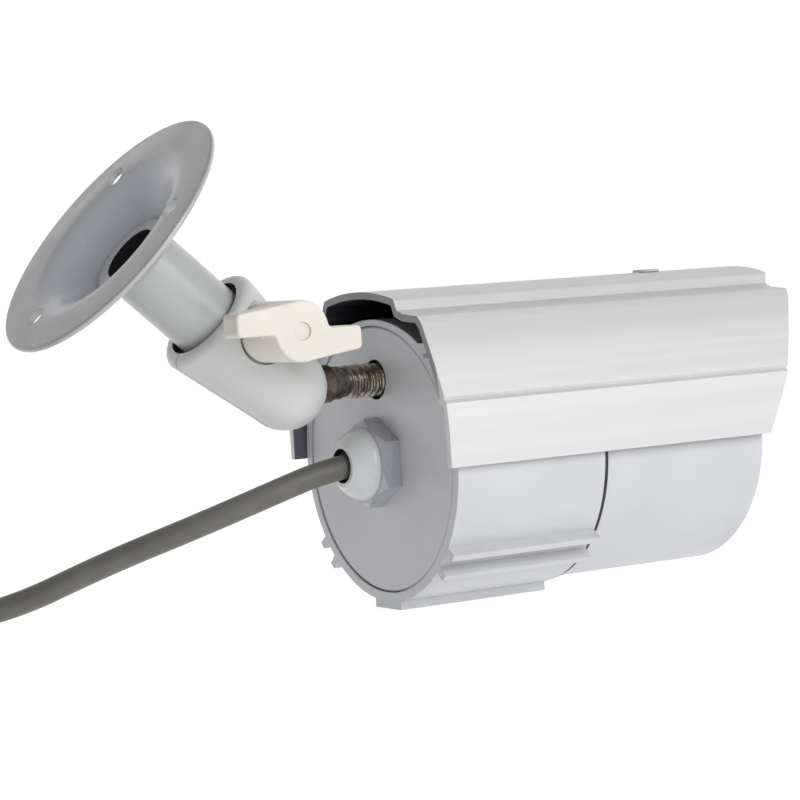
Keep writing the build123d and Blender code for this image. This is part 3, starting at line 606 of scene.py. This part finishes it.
def cord_piece(name, route, diameter):
    """A round cord along one smooth curve through its route."""
    curve = bpy.data.curves.new(name, "CURVE")
    curve.dimensions = "3D"
    spline = curve.splines.new("NURBS")
    spline.points.add(len(route) - 1)
    for point, (x, y, z) in zip(spline.points, route):
        point.co = (*place(x, y, z), 1)
        point.radius = diameter / 2 * MM
    spline.order_u = 3
    spline.use_endpoint_u = True
    spline.resolution_u = 8
    curve.bevel_depth = 1.0      # each point's radius is the cord's own
    curve.bevel_resolution = 5
    curve.use_fill_caps = True
    obj = new_object(name, curve)
    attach(obj, "camera")
    dress(obj, MATERIALS["cable_jacket"])
    return obj


TIE_ANGLE = 200              # degrees
TIE_WIDTH = 5.0
TIE_T = 0.9
TIE_GAP = 0.05               # between the band and the cable
TIE_EDGE = 0.25              # the rounding of the band's edges
TIE_STEPS = 12               # faces round each end of the band


def add_tie():
    """A flexible band drawn tight round the turns of the coil, with its ratchet head and short tail."""
    turned = (TIE_ANGLE - COIL_START) / 360
    low = COIL_START_Z + CORD_D * turned
    high = low + CORD_D * int(COIL_TURNS - turned)
    out = Vector((math.cos(math.radians(TIE_ANGLE)), math.sin(math.radians(TIE_ANGLE)), 0))
    along = Vector((-out.y, out.x, 0))
    centre = place(*COIL_CENTRE, 0) + out * COIL_R * MM
    section = []
    for end, middle in ((0, high), (180, low)):
        for step in range(TIE_STEPS + 1):
            turn = math.radians(end + 180 * step / TIE_STEPS)
            section.append((math.cos(turn), math.sin(turn), middle))
    inner = CORD_D / 2 + TIE_GAP
    outer = CORD_D / 2 + TIE_T
    bm = bmesh.new()
    loops = []
    for radius, side in ((inner, -1), (outer - TIE_EDGE, -1), (outer, -0.88),
                         (outer, 0.88), (outer - TIE_EDGE, 1), (inner, 1)):
        loop = []
        for c, s, z in section:
            level = (out * c * radius + along * side * TIE_WIDTH / 2) * MM
            loop.append(bm.verts.new(centre + level + Vector((0, 0, (z + s * radius) * MM))))
        loops.append(loop)
    for before, after in zip(loops, loops[1:] + loops[:1]):
        for i in range(len(section)):
            bm.faces.new([before[i - 1], before[i], after[i], after[i - 1]])
    head = bmesh.ops.create_cube(bm, size=1.0)["verts"]
    tail = bmesh.ops.create_cube(bm, size=1.0)["verts"]
    turn = Matrix((out, along, (0, 0, 1))).transposed().to_4x4()
    middle = (low + high) / 2
    for verts, offset, extent in ((head, (outer + 1.2, 0, middle), (3.0, 6.6, 5.2)),
                                  (tail, (outer + 1.4, 0, middle + 4.2), (1.1, 4.6, 5.0))):
        size = Matrix.Diagonal((*(Vector(extent) * MM), 1))
        move = Matrix.Translation(centre) @ turn @ Matrix.Translation(Vector(offset) * MM)
        bmesh.ops.transform(bm, matrix=move @ size, verts=verts)
        edges = list({e for v in verts for e in v.link_edges})
        bmesh.ops.bevel(bm, geom=edges, offset=0.4 * MM, segments=3, profile=0.5, affect="EDGES")
    tie = finished("tight_tie", bm, 40)
    stands_for(tie, "cable_tie")
    return tie


def lead_end(route):
    """Where a lead ends, and the level direction in which it points there."""
    end = place(*route[-1])
    way = end - place(*route[-2])
    return basis(end, Vector((way.x, way.y, 0)).normalized())


def video_fittings():
    """A boot with grip rings, and a bayonet barrel with its knurled collar, centre contact and lugs."""
    at = lead_end(VIDEO_ROUTE)
    bm = bmesh.new()
    neck = [(-0.3, 1.4), (-0.2, 2.3), (0.2, 2.6)]
    collar = [(9.6, 4.8), (13.7, 4.8), (14.0, 4.5), (14.0, 2.0)]
    lathe(bm, neck + ribbed(0.6, 9.0, 4.6, 2.7, 0.5, 6) + collar, at)
    boot = finished("video_grip", bm)
    stands_for(boot, "video_boot")
    bm = bmesh.new()
    outside = [(14.0, 2.2), (14.0, 4.6), (14.3, 4.9), (16.2, 4.9), (16.5, 4.6), (17.0, 4.6), (25.6, 4.6)]
    mouth = [(26.0, 4.4), (26.0, 4.05), (25.7, 3.9), (17.2, 3.9)]
    socket = [(17.2, 2.4), (23.2, 2.4), (23.5, 2.2), (23.5, 0.9), (23.2, 0.7), (20.0, 0.7), (20.0, 0)]
    lathe(bm, outside + mouth + socket, at)
    for side in (-1, 1):
        lug = at @ Matrix.Translation((0, 0, 21.5)) @ Matrix.Rotation(math.radians(side * 90), 4, "Y")
        lathe(bm, [(4.2, 1.0), (4.9, 1.0), (5.05, 0.85), (5.05, 0)], lug, 24)
    teeth = 24
    for i in range(teeth):
        tooth = at @ Matrix.Rotation(2 * math.pi * i / teeth, 4, "Z") @ Matrix.Translation((4.75, 0, 14.5))
        lathe(bm, [(0, 0), (0, 0.3), (1.5, 0.3), (1.5, 0)], tooth, 8)
    barrel = finished("video_barrel", bm)
    stands_for(barrel, "video_connector")
    return [boot, barrel]


def power_fittings():
    """A moulded power socket with grip rings and its centre pin."""
    at = lead_end(POWER_ROUTE)
    bm = bmesh.new()
    neck = [(-0.3, 1.3), (-0.2, 2.2), (0.2, 2.5)]
    relief = ribbed(0.6, 8.0, 4.3, 2.6, 0.5, 5)
    barrel = [(8.5, 4.4)] + ribbed(9.5, 20.0, 4.4, 4.4, 0.25, 9) + [(20.5, 4.4), (23.6, 4.4)]
    mouth = [(24.0, 4.1), (24.0, 3.1), (23.7, 2.8), (14.0, 2.8), (14.0, 1.0)]
    lathe(bm, neck + relief + barrel + mouth, at)
    grip = finished("power_grip", bm)
    stands_for(grip, "power_boot")
    bm = bmesh.new()
    lathe(bm, [(13.8, 1.05), (22.4, 1.05), (22.9, 0.9), (23.1, 0.5), (23.1, 0)], at, 32)
    pin = finished("power_centre_pin", bm)
    stands_for(pin, "power_pin")
    return [grip, pin]


def add_cords():
    """The cable with its coil, the two leads, and the pieces that are on them."""
    cable = cord_piece("cable", LEAD_ROUTE + coil_route() + TAIL_ROUTE, CORD_D)
    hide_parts("cable_lead", "cable_coil", "cable_tail")
    on_cable = [add_tie(), softened("cable_splitter", 0.0006, 3)]
    video = cord_piece("video_cord", VIDEO_ROUTE, VIDEO_D)
    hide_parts("video_lead")
    video_fittings()
    power = cord_piece("power_cord", POWER_ROUTE, POWER_D)
    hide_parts("power_lead")
    power_fittings()


# ---------------------------------------------------------------- light and floor

WORLD_BRIGHT_WAY = (0.50, 0.80, -0.60)          # towards its brightest side
KEY_AT = (0.16, -1.08, 0.50)                    # metres
KEY_SIZE = (0.9, 0.7)
KEY_POWER = 11.5             # watts
FLOOR_HALF = 15              # metres


def add_world():
    """A white studio that is dimmer overhead and behind the viewer."""
    world = bpy.data.worlds.new("studio")
    scene.world = world
    world.use_nodes = True
    tree = world.node_tree
    coords = tree.nodes.new("ShaderNodeTexCoord")
    facing = tree.nodes.new("ShaderNodeVectorMath")
    facing.operation = "DOT_PRODUCT"
    facing.inputs[1].default_value = WORLD_BRIGHT_WAY
    tree.links.new(coords.outputs["Generated"], facing.inputs[0])
    share = tree.nodes.new("ShaderNodeMapRange")
    share.inputs["From Min"].default_value = -1
    share.inputs["From Max"].default_value = 1
    tree.links.new(facing.outputs["Value"], share.inputs["Value"])
    colour = ramp(tree, share.outputs["Result"], [(0.0, 0.24), (0.4, 0.35), (0.55, 0.54), (0.72, 1.0)])
    back = tree.nodes["Background"]
    tree.links.new(colour, back.inputs["Color"])
    back.inputs["Strength"].default_value = 1.1


def add_key():
    """A large soft light on the near side, which faces the housing."""
    data = bpy.data.lights.new("key", "AREA")
    data.shape = "RECTANGLE"
    data.size, data.size_y = KEY_SIZE
    data.energy = KEY_POWER
    obj = bpy.data.objects.new("key", data)
    obj.location = KEY_AT
    obj.rotation_euler = (MIDDLE - Vector(KEY_AT)).to_track_quat("-Z", "Y").to_euler()
    scene.collection.objects.link(obj)


def add_floor():
    """A wide white surface that shines a little, so that it fades into the studio."""
    mesh = bpy.data.meshes.new("floor")
    corners = [(x * FLOOR_HALF, y * FLOOR_HALF, 0) for x, y in ((-1, -1), (1, -1), (1, 1), (-1, 1))]
    mesh.from_pydata(corners, [], [(0, 1, 2, 3)])
    floor = new_object("floor", mesh)
    mat, tree, bsdf, coords = shader("floor")
    tone = noise(tree, coords, 3, detail=2)
    tree.links.new(ramp(tree, tone, [(0.3, 0.48), (0.7, 0.50)]), bsdf.inputs["Base Color"])
    bsdf.inputs["Roughness"].default_value = 0.9
    bsdf.inputs["Emission Color"].default_value = (1, 1, 1, 1)
    bsdf.inputs["Emission Strength"].default_value = 0.74
    dress(floor, mat)


scene.view_settings.view_transform = "Standard"
add_camera()
add_world()
add_floor()
add_key()
add_cords()

for node, obj in frame["nodes"].items():
    dress(obj, MATERIALS[SLOT_OF[node]])
add_painted_shade_and_reflection()
dress(frame["nodes"]["gland_body"], NUT_GREY)
dress(frame["nodes"]["shield_screw"], MATERIALS["body_paint"])
add_stud()
add_lamp_cups()

bpy.context.view_layer.update()
